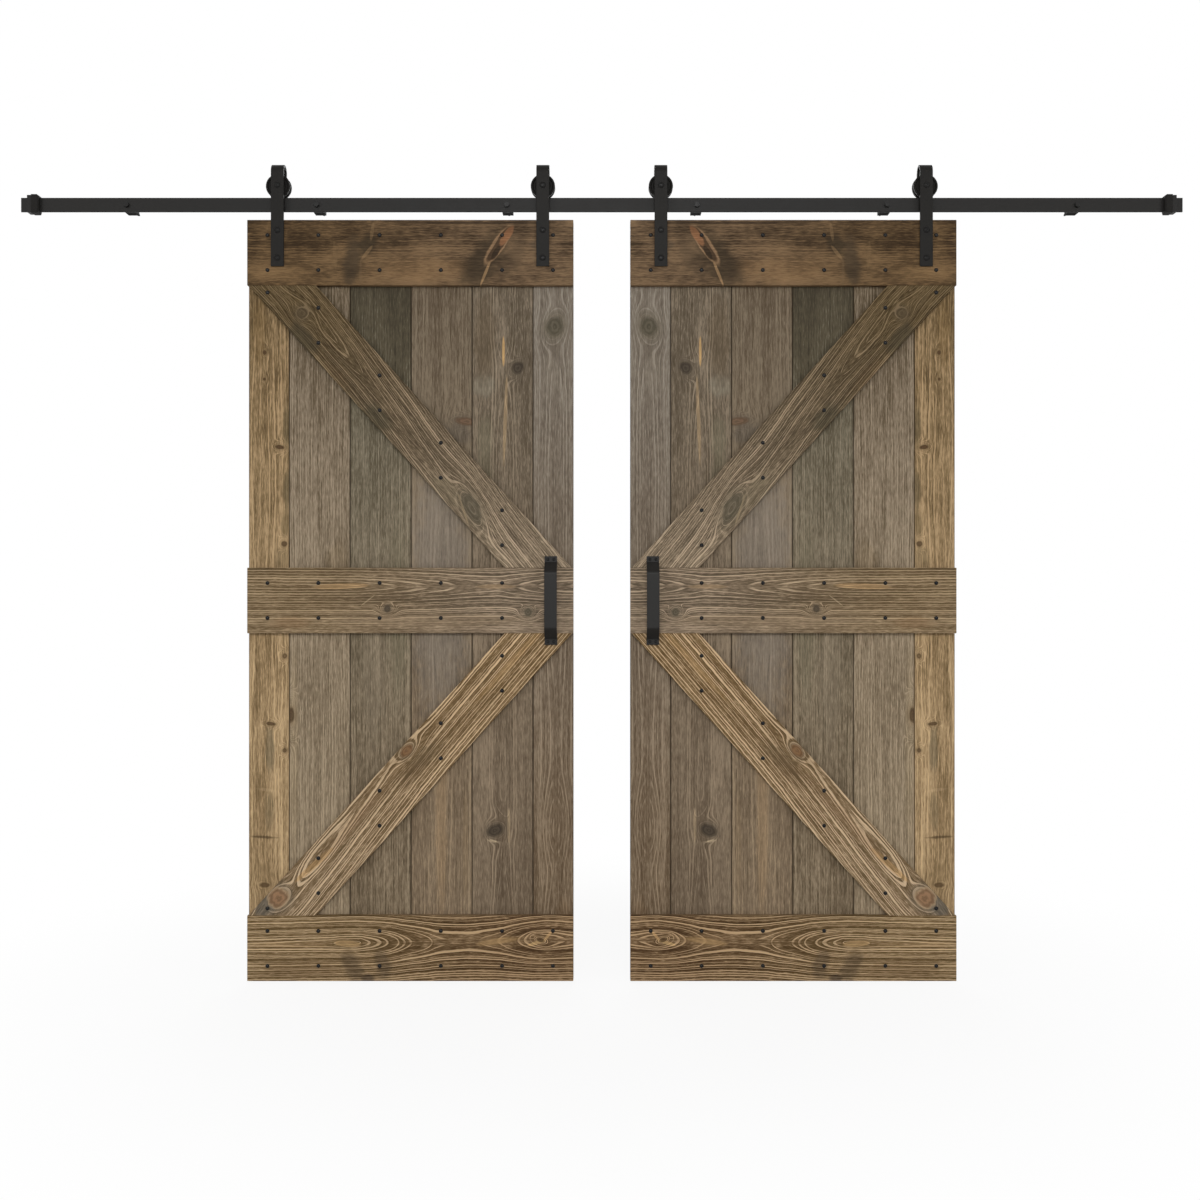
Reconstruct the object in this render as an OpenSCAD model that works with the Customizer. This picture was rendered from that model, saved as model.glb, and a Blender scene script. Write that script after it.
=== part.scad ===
// Pair of braced plank barn doors that slide on a flat wall track.
// Y = 0 is the wall, Z = 0 the track's centre line and X = 0 the middle of the doorway.
// +X points right, +Y into the wall and +Z up. All lengths are millimetres.

/* [Doors] */
// Width of one door
door_w = 914; // [850:1:1000]
// Height of one door
door_h = 2134; // [1980:1:2400]
// Space between the two doors where they hang at rest
door_gap = 160; // [60:1:300]
// Space between the underside of the track and the top of a door
door_drop = 25.4; // [16:0.1:50]

/* [Planks] */
// Thickness of the upright planks
plank_t = 19; // [16:0.5:25]
// Width of a full plank, the two edge planks share what is left of the door
plank_w = 171.6; // [160:0.1:185]
// Bevel on the face edges of a plank, two of them make the V joint
plank_bevel = 2.4; // [1:0.1:4]
// Space between the shoulders of neighbouring planks
plank_gap = 0.6; // [0.3:0.1:1.5]
// Reach of a tongue past its shoulder
tongue_reach = 8; // [5:0.5:12]
// Thickness of a tongue
tongue_t = 6; // [4:0.5:8]
// Play round a tongue in its groove
tongue_play = 0.3; // [0.1:0.05:0.6]

/* [Face boards] */
// Thickness of the boards nailed on the face of the planks
board_t = 19; // [16:0.5:25]
// Height of the three cross rails
rail_h = 184; // [160:1:220]
// Width of the diagonal braces
brace_w = 140; // [100:1:170]
// Distance that the tips of a brace stay back from the sides of the door
brace_inset = 3.5; // [1:0.5:20]
// Bevel on the face edges of the boards
board_bevel = 1.6; // [0.5:0.1:4]

/* [Nails] */
// Diameter of a domed nail head
nail_head_d = 11.5; // [8:0.5:14]
// Height of a domed nail head
nail_head_h = 3.6; // [2:0.1:4]
// Diameter of a nail shank
nail_d = 3.6; // [2.5:0.1:5]
// Depth that a nail reaches into the planks
nail_bite = 12; // [6:0.5:14]
// Distance of a nail above or below the centre line of its board
nail_row = 49; // [30:1:60]
// Distance of the outermost nails from the sides of the door
nail_edge = 57; // [40:0.5:60]
// Distance of the single nail at a brace's outer tip from the cross rail
nail_tip = 20; // [15:1:35]

/* [Track] */
// Length of the track bar
track_l = 3266; // [2900:1:3600]
// Height of the track bar
track_h = 40; // [36:0.5:60]
// Thickness of the track bar
track_t = 6; // [5:0.5:8]
// Bevel along the edges of the track bar
track_bevel = 0.8; // [0.3:0.1:1.5]
// Length of the spacers, from the wall to the back of the track
standoff = 60; // [50:1:90]
// Width of a spacer along the track
spacer_w = 30; // [20:1:40]
// Height of a spacer
spacer_h = 26; // [20:1:28]
// Distance from one spacer to the next
spacer_pitch = 534.4; // [420:0.1:560]

/* [Wall screws] */
// Diameter over the thread of the lag screws that hold the track
lag_d = 8; // [7:0.5:10]
// Diameter of the plain neck of a lag screw, in the track and its spacer
lag_neck_d = 6.6; // [5:0.1:7]
// Length of a lag screw behind the wall plane
lag_bite = 50; // [30:1:80]
// Length of the tapered point of a lag screw
lag_point = 12; // [6:1:20]
// Width across the flats of a lag screw's head
lag_head_w = 13; // [10:0.5:15]
// Height of a lag screw's head with its flange
lag_head_h = 6; // [4:0.5:8]
// Diameter of the flange under the head
lag_flange_d = 16; // [14:0.5:20]
// Thickness of the flange under the head
lag_flange_t = 1.6; // [1:0.1:3]

/* [Hangers] */
// Distance from a side of the door to the middle of the nearest strap
hanger_inset = 85.5; // [82:0.5:140]
// Width of a hanger strap
strap_w = 36; // [25:1:40]
// Thickness of a hanger strap
strap_t = 6; // [4:0.5:8]
// Length of strap that lies on the face of the door
strap_overlap = 131; // [120:1:165]
// Height of the strap's crown above the axle
strap_crown = 61.7; // [52:0.1:90]
// Length of the strap's back leg below the axle
strap_tail = 20; // [12:1:30]
// Distance of the upper strap bolt below the top of the door
bolt_drop = 30; // [20:1:40]
// Distance between the two bolts of a strap
bolt_pitch = 78; // [50:1:86]
// Diameter of the strap bolts and of the axle bolts
bolt_d = 10; // [8:0.5:12]
// Diameter of a bolt's domed head
bolt_head_d = 17.5; // [15:0.5:20]
// Height of a bolt's domed head
bolt_head_h = 5; // [3:0.5:6]
// Width across the flats of the hexagon socket in a bolt's head
bolt_socket_w = 6; // [4:0.5:7]
// Depth of the hexagon socket in a bolt's head
bolt_socket_depth = 3; // [1:0.5:4]
// Length of bolt that shows behind its nut
bolt_tail = 3; // [1:0.5:8]
// Width across the flats of a nut
nut_w = 16; // [15:0.5:18]
// Height of a nut with its flange
nut_h = 9; // [6:0.5:12]
// Diameter of a nut's flange
nut_flange_d = 21; // [19:0.5:26]
// Thickness of a nut's flange
nut_flange_t = 2; // [1:0.5:3]

/* [Rollers] */
// Outer diameter of a wheel
wheel_d = 68; // [66:0.5:72]
// Diameter of the tread at the bottom of the groove
tread_d = 60; // [58:0.5:62]
// Width of a wheel
wheel_w = 27; // [24:0.5:32]
// Width of the groove at the tread
groove_w = 9; // [8:0.1:11]
// Extra width of the groove on each side at the rim
groove_flare = 2; // [0.5:0.1:3]
// Bevel on the outer edges of the rim
rim_bevel = 1.5; // [0.5:0.1:3]
// Width of the raised rim on a wheel's side
rim_w = 5; // [3:0.5:7]
// Depth of the dish between a wheel's rim and hub
dish_depth = 2.5; // [1:0.5:4]
// Diameter of a wheel's hub
hub_d = 38; // [34:0.5:42]
// Space between a wheel's side and its strap
wheel_side_gap = 3; // [2:0.5:5]
// Outer diameter of a ball bearing
bearing_d = 26; // [24:0.5:28]
// Width of a ball bearing
bearing_w = 8; // [6:0.5:10]
// Wall of a bearing's outer ring
outer_ring_t = 2; // [1.5:0.1:2.5]
// Thickness of the shields that close a bearing
shield_t = 0.8; // [0.5:0.1:1.2]
// Wall of a bearing's inner ring
inner_ring_t = 2.4; // [1.5:0.1:3]
// Wall of the bushes that centre a bearing on its axle
bush_t = 2; // [1:0.1:2.5]
// Height of the shoulder that a bearing is pressed against
bearing_shoulder = 2.5; // [1:0.1:3]

/* [End stops] */
// Length of track left bare outside a stop
stop_inset = 22; // [5:1:60]
// Length of a stop's steel collar along the track
collar_l = 12; // [9:1:25]
// Thickness of a stop's steel collar above and below the track
collar_lip = 4; // [2:0.1:8]
// Reach of a collar in front of the track
collar_front = 14; // [8:0.5:20]
// Length of a stop's rubber bumper along the track
bumper_l = 20; // [10:1:35]
// Thickness of a stop's rubber bumper above and below the track
bumper_lip = 5.5; // [3:0.1:9]
// Reach of a bumper in front of the track
bumper_front = 16.5; // [12:0.5:22]
// Bevel round the striking face of a bumper
bumper_bevel = 3.5; // [1:0.5:5]
// Reach of collar and bumper behind the track
stop_back = 9; // [6:0.5:14]
// Diameter of the set screw in a collar
set_screw_d = 6; // [4:0.5:8]
// Width across the flats of a set screw's hexagon socket
set_socket_w = 3; // [2:0.1:3]
// Depth of a set screw's hexagon socket
set_socket_depth = 3; // [2:0.5:4]

/* [Pull handles] */
// Length of a handle over its feet
handle_l = 248; // [225:1:272]
// Length of the flat grip
grip_l = 154; // [110:1:170]
// Width of the handle's bar
handle_w = 35; // [25:1:45]
// Thickness of the handle's bar
handle_t = 6; // [4:0.5:8]
// Distance of the grip's outer face from the door
grip_reach = 40; // [35:1:60]
// Length of a foot that lies on the door
foot_l = 17; // [15:1:22]
// Radius of the bends along the middle of the bar
handle_bend_r = 6; // [4:0.5:10]
// Distance of the handle's centre line from the inner side of the door
handle_inset = 62.7; // [40:0.1:80]
// Distance between the two screws of a foot
screw_spread = 17; // [12:1:22]
// Diameter of a handle screw
screw_d = 4.5; // [3:0.5:6]
// Diameter of a handle screw's head
screw_head_d = 9; // [7:0.5:10]
// Height of a handle screw's head
screw_head_h = 2.6; // [1.5:0.1:4]
// Depth that a handle screw reaches into the door
screw_bite = 28; // [20:0.5:34]

/* [Fits] */
// Play round bolts and screws in the pieces that they pass through
hole_play = 0.25; // [0.1:0.05:0.8]
// Play round a nail in the wood
nail_play = 0.1; // [0.05:0.05:0.3]
// Play between pressed or threaded pieces
seat_play = 0.05; // [0.02:0.01:0.1]
// Space between a turning piece and the still one beside it
run_gap = 0.3; // [0.2:0.05:0.5]
// Play round the track inside a stop
stop_play = 0.2; // [0.1:0.05:0.5]

/* [Hidden] */
$fn = 64;
plank_count = 6;
spacer_count = 6;
door_sides = ["left", "right"];
hanger_places = ["outer", "inner"];
rail_names = ["top_rail", "middle_rail", "bottom_rail"];
brace_names = ["upper_brace", "lower_brace"];
door_extras = ["nails", "pull_handle", "handle_screws", "strap_bolts", "strap_nuts",
               "axle_bolts", "axle_nuts", "axle_bushes", "bearing_inner_rings"];

track_nodes = ["track_rail", "wall_spacers", "lag_screws", "stop_set_screws"];
door_nodes = concat([for (i = [1 : plank_count]) str("plank_", i)],
                    rail_names, brace_names, door_extras,
                    [for (place = hanger_places) str(place, "_strap")]);
stop_nodes = ["stop_collar", "stop_bumper"];
roller_nodes = [for (place = hanger_places) each [str(place, "_wheel"), str(place, "_bearing")]];

wood_frame = "#6f5436";
wood_brace = "#7f6440";
wood_plank = "#6a5b48";
black_steel = "#2f2e2d";
black_fastener = "#262626";
black_rubber = "#1d1d1d";
bare_steel = "#a3a5a7";

// Depths, from the wall forward
track_mid_y = -(standoff + track_t / 2);
track_front_y = -(standoff + track_t);
hanger_half = wheel_w / 2 + wheel_side_gap;
face_y = track_mid_y - hanger_half;
plank_y = face_y + board_t;
back_y = plank_y + plank_t;
strap_front_y = face_y - strap_t;
strap_back_y = track_mid_y + hanger_half + strap_t;

// Heights, from the track's centre line
axle_z = track_h / 2 + tread_d / 2 + run_gap;
door_top_z = -(track_h / 2 + door_drop);
door_mid_z = door_top_z - door_h / 2;
door_bottom_z = door_top_z - door_h;
rail_z = [door_top_z - rail_h / 2, door_mid_z, door_bottom_z + rail_h / 2];
bolt_z = [door_top_z - bolt_drop, door_top_z - bolt_drop - bolt_pitch];

// Places along the track and across a door, from the middle of the door
door_x = (door_gap + door_w) / 2;
hanger_x = [-(door_w / 2 - hanger_inset), door_w / 2 - hanger_inset];
handle_x = door_w / 2 - handle_inset;
spacer_x = [for (i = [0 : spacer_count - 1]) (i - (spacer_count - 1) / 2) * spacer_pitch];
collar_x = -(track_l / 2 - stop_inset);
bumper_x = collar_x + collar_l;
slot_h = track_h + 2 * stop_play;

// A brace of the given width fits tip to tip between two cross rails at this angle
panel_h = (door_h - 3 * rail_h) / 2;
brace_span = door_w - 2 * brace_inset;
brace_diagonal = norm([brace_span, panel_h]);
brace_angle = atan2(panel_h, brace_span) + asin(brace_w / brace_diagonal);
panel_z = [(rail_z[0] + rail_z[1]) / 2, (rail_z[1] + rail_z[2]) / 2];
brace_turn = [1, -1];

bearing_bore_d = bolt_d + 2 * seat_play;
inner_ring_d = bearing_bore_d + 2 * inner_ring_t;
bush_l = hanger_half - bearing_w / 2;
bend_steps = 8;

function plank_edge(i) =
    i == 0 ? -door_w / 2 : i == plank_count ? door_w / 2 : (i - plank_count / 2) * plank_w;
function nail_x(i) =
    i == 1 ? -(door_w / 2 - nail_edge) : i == plank_count ? door_w / 2 - nail_edge
    : (plank_edge(i - 1) + plank_edge(i)) / 2;
function brace_line_z(b, x) = panel_z[b] - brace_turn[b] * x * tan(brace_angle);

// Nail places [plank, z] on one cross rail and on one brace
function rail_nails(r) =
    [for (i = [1 : plank_count], row = [-nail_row, nail_row]) [i, rail_z[r] + row]];
function brace_nails(b) =
    concat([for (i = [2 : plank_count - 1], row = [-nail_row, nail_row])
            [i, brace_line_z(b, nail_x(i)) + row]],
           [[1, panel_z[b] + brace_turn[b] * (panel_h / 2 - nail_tip)]]);
all_nails = concat([for (r = [0 : 2]) each rail_nails(r)], [for (b = [0 : 1]) each brace_nails(b)]);

// Outline of a flat bar, seen edge on, that is bent to a radius at each corner of its middle line
function heading(path, i) =
    let (k = min(max(i, 0), len(path) - 2), run = path[k + 1] - path[k]) atan2(run.y, run.x);
function wrap(a) = a > 180 ? a - 360 : a < -180 ? a + 360 : a;
function along(a) = [cos(a), sin(a)];
function reversed(list) = [for (i = [len(list) - 1 : -1 : 0]) list[i]];
function bar_corner(corner, h0, turn, left, bend_r) =
    let (way = sign(turn),
         centre = corner - bend_r * tan(abs(turn) / 2) * along(h0) + way * bend_r * along(h0 + 90))
    [for (k = [0 : bend_steps])
     centre + (bend_r - way * left) * along(h0 - way * 90 + turn * k / bend_steps)];
function bar_side(path, left, bend_r) =
    [for (i = [0 : len(path) - 1])
     let (h0 = heading(path, i - 1), turn = wrap(heading(path, i) - h0))
     each turn == 0 ? [path[i] + left * along(h0 + 90)] : bar_corner(path[i], h0, turn, left, bend_r)];
function bent_bar(path, thick, bend_r) =
    concat(bar_side(path, thick / 2, bend_r), reversed(bar_side(path, -thick / 2, bend_r)));

// Moves a door's pieces from the middle of the left door to their own side
module on_door(side) {
    on_side(side) translate([-door_x, 0, 0]) children();
}

// The right-hand pieces mirror the left-hand ones
module on_side(side) {
    if (side == "left") children();
    else mirror([1, 0, 0]) children();
}

// Stands a shape drawn along +Z on a plane across Y, pointing forward or into the wall
module facing_front(x, y, z) { translate([x, y, z]) rotate([90, 0, 0]) children(); }
module facing_wall(x, y, z) { translate([x, y, z]) rotate([-90, 0, 0]) children(); }

// Lays a Y-Z outline along X, centred on x
module across_x(length, x = 0) {
    translate([x, 0, 0]) rotate([90, 0, 90]) linear_extrude(length, center = true) children();
}

// Spherical cap that stands on Z = 0
module dome(d, h) {
    ball_r = (d * d / 4 + h * h) / (2 * h);
    intersection() {
        translate([0, 0, h - ball_r]) sphere(ball_r);
        translate([0, 0, h / 2]) cube([d * 1.2, d * 1.2, h], center = true);
    }
}

module hexagon(across_flats, h) { cylinder(d = across_flats / cos(30), h = h, $fn = 6); }

// Bolt with a domed socket head seated on Z = 0 and its shank below
module dome_bolt(length) {
    difference() {
        dome(bolt_head_d, bolt_head_h);
        translate([0, 0, bolt_head_h - bolt_socket_depth]) hexagon(bolt_socket_w, bolt_head_h);
    }
    translate([0, 0, -length]) cylinder(d = bolt_d, h = length);
}

module flange_nut() {
    difference() {
        union() {
            cylinder(d = nut_flange_d, h = nut_flange_t);
            hexagon(nut_w, nut_h);
        }
        translate([0, 0, -nut_h / 2]) cylinder(d = bearing_bore_d, h = 2 * nut_h);
    }
}

// Ring from bore_d to outer_d that is centred on Z = 0
module ring(outer_d, bore_d, w) {
    difference() {
        cylinder(d = outer_d, h = w, center = true);
        cylinder(d = bore_d, h = 2 * w, center = true);
    }
}

// Holes through the face of a door
module nail_holes(nails) {
    for (n = nails)
        facing_wall(nail_x(n[0]), face_y - nail_play, n[1])
            cylinder(d = nail_d + 2 * nail_play, h = board_t + nail_bite + 2 * nail_play);
}
module strap_bolt_holes() {
    for (x = hanger_x, z = bolt_z)
        facing_wall(x, strap_front_y - strap_t, z)
            cylinder(d = bolt_d + 2 * hole_play, h = back_y - strap_front_y + 2 * strap_t);
}
module at_handle_screws(y) {
    for (x = [-1, 1], z = [-1, 1])
        translate([handle_x + x * screw_spread / 2, y, door_mid_z + z * (handle_l - foot_l) / 2])
            children();
}
module handle_screw_holes() {
    at_handle_screws(face_y - 2 * handle_t)
        rotate([-90, 0, 0])
            cylinder(d = screw_d + 2 * hole_play, h = 2 * handle_t + screw_bite + hole_play);
}

// Flat steel bar that the rollers run along
module track_rail() {
    half_t = track_t / 2;
    half_h = track_h / 2;
    color(black_steel) difference() {
        across_x(track_l) translate([track_mid_y, 0])
            polygon([[-half_t + track_bevel, -half_h], [half_t - track_bevel, -half_h],
                     [half_t, -half_h + track_bevel], [half_t, half_h - track_bevel],
                     [half_t - track_bevel, half_h], [-half_t + track_bevel, half_h],
                     [-half_t, half_h - track_bevel], [-half_t, -half_h + track_bevel]]);
        lag_holes();
    }
}
module lag_holes() {
    for (x = spacer_x)
        facing_wall(x, track_front_y - track_t, 0)
            cylinder(d = lag_d + 2 * hole_play, h = standoff + 3 * track_t);
}

// Blocks that hold the track off the wall
module wall_spacers() {
    color(black_steel) difference() {
        for (x = spacer_x)
            translate([x - spacer_w / 2, -standoff, -spacer_h / 2]) cube([spacer_w, standoff, spacer_h]);
        lag_holes();
    }
}

// Hexagon-headed screws through track and spacers, which stand out behind as the wall fixing
module lag_screws() {
    neck_l = track_t + standoff;
    thread_l = lag_bite - lag_point;
    color(black_fastener) for (x = spacer_x) facing_front(x, track_front_y, 0) {
        cylinder(d = lag_flange_d, h = lag_flange_t);
        hexagon(lag_head_w, lag_head_h);
        translate([0, 0, -neck_l]) cylinder(d = lag_neck_d, h = neck_l);
        translate([0, 0, -neck_l - thread_l]) cylinder(d = lag_d, h = thread_l);
        translate([0, 0, -neck_l - lag_bite]) cylinder(d1 = lag_d / 4, d2 = lag_d, h = lag_point);
    }
}

// Steel collar clamped on the track
module stop_collar() {
    depth = collar_front + track_t + stop_back;
    collar_h = slot_h + 2 * collar_lip;
    color(black_steel) difference() {
        translate([collar_x, track_front_y - collar_front, -collar_h / 2]) cube([collar_l, depth, collar_h]);
        track_slot();
        set_screw_place() cylinder(d = set_screw_d + 2 * seat_play, h = 2 * stop_back);
    }
}
module track_slot() {
    across_x(track_l) translate([track_mid_y, 0])
        square([track_t + 2 * stop_play, slot_h], center = true);
}
module set_screw_place() { facing_wall(collar_x + collar_l / 2, -standoff, 0) children(); }

// Rubber ring that takes the blow of the roller
module stop_bumper() {
    front = track_front_y - bumper_front;
    depth = bumper_front + track_t + stop_back;
    bumper_h = slot_h + 2 * bumper_lip;
    color(black_rubber) difference() {
        intersection() {
            translate([0, front + depth, 0]) rotate([90, 0, 0])
                linear_extrude(depth) bumper_outline(bumper_h);
            translate([0, front + depth / 2, -bumper_h / 2]) linear_extrude(bumper_h) bumper_outline(depth);
        }
        track_slot();
    }
}
module bumper_outline(across) {
    x1 = bumper_x + bumper_l;
    half = across / 2;
    polygon([[bumper_x, -half], [x1 - bumper_bevel, -half], [x1, -half + bumper_bevel],
             [x1, half - bumper_bevel], [x1 - bumper_bevel, half], [bumper_x, half]]);
}

// Socket set screws that press the collars against the track
module stop_set_screws() {
    color(black_fastener) for (side = door_sides) on_side(side) set_screw_place() difference() {
        cylinder(d = set_screw_d, h = stop_back);
        translate([0, 0, stop_back - set_socket_depth]) hexagon(set_socket_w, 2 * set_socket_depth);
    }
}

// Upright plank with a groove towards the outer side of the door and a tongue towards the inner one
module plank(i) {
    grooved = i > 1;
    tongued = i < plank_count;
    x0 = plank_edge(i - 1) + (grooved ? plank_gap / 2 : 0);
    x1 = plank_edge(i) - (tongued ? plank_gap / 2 : 0);
    t0 = (plank_t - tongue_t) / 2;
    t1 = t0 + tongue_t;
    groove = tongue_reach - plank_gap + tongue_play;
    outline = concat([[x0, plank_bevel], [x0 + plank_bevel, 0], [x1 - plank_bevel, 0], [x1, plank_bevel]],
                     tongued ? [[x1, t0], [x1 + tongue_reach, t0], [x1 + tongue_reach, t1], [x1, t1]] : [],
                     [[x1, plank_t], [x0, plank_t]],
                     grooved ? [[x0, t1 + tongue_play], [x0 + groove, t1 + tongue_play],
                                [x0 + groove, t0 - tongue_play], [x0, t0 - tongue_play]] : []);
    color(wood_plank) difference() {
        translate([0, plank_y, door_bottom_z]) linear_extrude(door_h) polygon(outline);
        nail_holes([for (n = all_nails) if (n[0] == i) n]);
        strap_bolt_holes();
        handle_screw_holes();
    }
}

// End view of a face board, with its two face edges bevelled
module board_outline(h) {
    half = h / 2;
    polygon([[board_bevel, -half], [board_t, -half], [board_t, half], [board_bevel, half],
             [0, half - board_bevel], [0, -half + board_bevel]]);
}

// Horizontal board across the planks
module cross_rail(r) {
    color(wood_frame) difference() {
        translate([0, face_y, rail_z[r]]) across_x(door_w) board_outline(rail_h);
        nail_holes(rail_nails(r));
        strap_bolt_holes();
        handle_screw_holes();
    }
}

// Diagonal board, sawn level at both ends to meet the cross rails
module brace(b) {
    color(wood_brace) difference() {
        intersection() {
            translate([0, face_y, panel_z[b]]) rotate([0, brace_turn[b] * brace_angle, 0])
                across_x(brace_diagonal + 2 * brace_w) board_outline(brace_w);
            translate([0, face_y, panel_z[b]]) cube([2 * door_w, 3 * board_t, panel_h], center = true);
        }
        nail_holes(brace_nails(b));
        handle_screw_holes();
    }
}

// Domed nails that hold the boards to the planks
module nails() {
    shank_l = board_t + nail_bite - nail_d;
    color(black_fastener) for (n = all_nails) facing_front(nail_x(n[0]), face_y, n[1]) {
        dome(nail_head_d, nail_head_h);
        translate([0, 0, -shank_l]) cylinder(d = nail_d, h = shank_l);
        translate([0, 0, -shank_l - nail_d]) cylinder(d1 = nail_d / 4, d2 = nail_d, h = nail_d);
    }
}

// Flat bar bent into a grip with two sloping legs and two feet
module pull_handle() {
    foot_y = face_y - handle_t / 2;
    grip_y = face_y - grip_reach + handle_t / 2;
    half_path = [[foot_y, handle_l / 2], [foot_y, handle_l / 2 - foot_l], [grip_y, grip_l / 2]];
    path = concat(half_path, [for (p = reversed(half_path)) [p.x, -p.y]]);
    color(black_steel) difference() {
        translate([0, 0, door_mid_z]) across_x(handle_w, handle_x)
            polygon(bent_bar(path, handle_t, handle_bend_r));
        handle_screw_holes();
    }
}

module handle_screws() {
    shank_l = handle_t + screw_bite - screw_d;
    color(black_fastener) at_handle_screws(face_y - handle_t) rotate([90, 0, 0]) {
        dome(screw_head_d, screw_head_h);
        translate([0, 0, -shank_l]) cylinder(d = screw_d, h = shank_l);
        translate([0, 0, -shank_l - screw_d]) cylinder(d1 = screw_d / 4, d2 = screw_d, h = screw_d);
    }
}

// Flat bar bent over the wheel: long leg on the door's face, short leg behind the wheel
module strap(h) {
    color(black_steel) difference() {
        across_x(strap_w, hanger_x[h]) difference() {
            strap_loop(hanger_half + strap_t);
            strap_loop(hanger_half);
            translate([track_mid_y, door_top_z - 2 * strap_overlap])
                square([2 * (hanger_half + strap_t), axle_z - strap_tail - door_top_z + 2 * strap_overlap]);
        }
        strap_bolt_holes();
        facing_wall(hanger_x[h], strap_front_y - strap_t, axle_z)
            cylinder(d = bolt_d + 2 * hole_play, h = strap_back_y - strap_front_y + 2 * strap_t);
    }
}

// Round-topped outline about the wheel's plane, down to the foot of the strap
module strap_loop(half_depth) {
    bend_z = axle_z + strap_crown - (hanger_half + strap_t);
    foot_z = door_top_z - strap_overlap;
    translate([track_mid_y, bend_z]) circle(half_depth);
    translate([track_mid_y - half_depth, foot_z]) square([2 * half_depth, bend_z - foot_z]);
}

module strap_bolts() {
    length = strap_t + board_t + plank_t + nut_h + bolt_tail;
    color(black_fastener) for (x = hanger_x, z = bolt_z)
        facing_front(x, strap_front_y, z) dome_bolt(length);
}
module strap_nuts() {
    color(black_fastener) for (x = hanger_x, z = bolt_z) facing_wall(x, back_y, z) flange_nut();
}

// Bolts that the rollers turn on, from the front leg of each strap to its back leg
module axle_bolts() {
    length = strap_back_y - strap_front_y + nut_h + bolt_tail;
    color(black_fastener) for (x = hanger_x) facing_front(x, strap_front_y, axle_z) dome_bolt(length);
}
module axle_nuts() {
    color(black_fastener) for (x = hanger_x) facing_wall(x, strap_back_y, axle_z) flange_nut();
}

// Bushes that hold each bearing's inner ring in the middle of its strap
module axle_bushes() {
    offset_y = (bearing_w + bush_l) / 2;
    color(bare_steel) for (x = hanger_x, y = [-offset_y, offset_y])
        facing_wall(x, track_mid_y + y, axle_z) ring(bearing_bore_d + 2 * bush_t, bearing_bore_d, bush_l);
}
module bearing_inner_rings() {
    color(bare_steel) for (x = hanger_x)
        facing_wall(x, track_mid_y, axle_z) ring(inner_ring_d, bearing_bore_d, bearing_w);
}

// Outer ring of a sealed bearing with its two shields
module bearing(h) {
    race_d = bearing_d - 2 * outer_ring_t;
    color(bare_steel) facing_wall(hanger_x[h], track_mid_y, axle_z) {
        difference() {
            ring(bearing_d, inner_ring_d + 2 * run_gap, bearing_w);
            cylinder(d = race_d, h = bearing_w - 2 * shield_t, center = true);
        }
    }
}

// Grooved wheel, turned with dished sides and a seat that is open to the back for the bearing
module wheel(h) {
    half_w = wheel_w / 2;
    seat_r = bearing_d / 2 + seat_play;
    shoulder_r = bearing_d / 2 - bearing_shoulder;
    wheel_r = wheel_d / 2;
    rim_r = wheel_r - rim_w;
    groove_half = groove_w / 2;
    half_rim = [[hub_d / 2, half_w], [hub_d / 2 + dish_depth, half_w - dish_depth],
                [rim_r - dish_depth, half_w - dish_depth], [rim_r, half_w],
                [wheel_r - rim_bevel, half_w], [wheel_r, half_w - rim_bevel],
                [wheel_r, groove_half + groove_flare], [tread_d / 2, groove_half]];
    other_rim = [for (p = reversed(half_rim)) [p.x, -p.y]];
    seat = [[shoulder_r, -half_w], [shoulder_r, -bearing_w / 2], [seat_r, -bearing_w / 2], [seat_r, half_w]];
    color(black_steel) facing_wall(hanger_x[h], track_mid_y, axle_z)
        rotate_extrude() polygon(concat(half_rim, other_rim, seat));
}

track_rail();
wall_spacers();
lag_screws();
stop_set_screws();
for (side = door_sides) {
    on_side(side) stop_collar();
    on_side(side) stop_bumper();
    for (i = [1 : plank_count])
        on_door(side) plank(i);
    for (r = [0 : 2])
        on_door(side) cross_rail(r);
    for (b = [0 : 1])
        on_door(side) brace(b);
    on_door(side) nails();
    on_door(side) pull_handle();
    on_door(side) handle_screws();
    on_door(side) strap_bolts();
    on_door(side) strap_nuts();
    on_door(side) axle_bolts();
    on_door(side) axle_nuts();
    on_door(side) axle_bushes();
    on_door(side) bearing_inner_rings();
    for (h = [0 : 1]) {
        on_door(side) strap(h);
        on_door(side) wheel(h);
        on_door(side) bearing(h);
    }
}
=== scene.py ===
import math

import bmesh
import bpy
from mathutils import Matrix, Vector


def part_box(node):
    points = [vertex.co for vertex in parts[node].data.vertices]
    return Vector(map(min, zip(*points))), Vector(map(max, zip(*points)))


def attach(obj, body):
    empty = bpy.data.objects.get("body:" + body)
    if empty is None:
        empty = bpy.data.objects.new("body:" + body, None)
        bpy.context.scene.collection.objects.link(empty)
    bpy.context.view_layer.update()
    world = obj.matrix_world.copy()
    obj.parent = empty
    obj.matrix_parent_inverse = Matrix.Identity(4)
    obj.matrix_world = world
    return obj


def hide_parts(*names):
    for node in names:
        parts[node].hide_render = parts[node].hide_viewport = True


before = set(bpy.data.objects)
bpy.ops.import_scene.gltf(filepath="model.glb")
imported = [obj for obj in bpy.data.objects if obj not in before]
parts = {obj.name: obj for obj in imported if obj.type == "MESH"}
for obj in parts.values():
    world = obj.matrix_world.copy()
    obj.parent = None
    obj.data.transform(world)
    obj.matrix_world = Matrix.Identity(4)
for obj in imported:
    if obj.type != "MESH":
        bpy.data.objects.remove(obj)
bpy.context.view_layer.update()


# Planks. Six upright tongue-and-groove boards of pine make the back of each door.
# They are sawn, brushed and stained grey-brown, and the bevels on their face edges make the V joints.
# The nails of the boards in front hold them together.
SIDES = ("left", "right")
rail_low, rail_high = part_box("right_top_rail")
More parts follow.
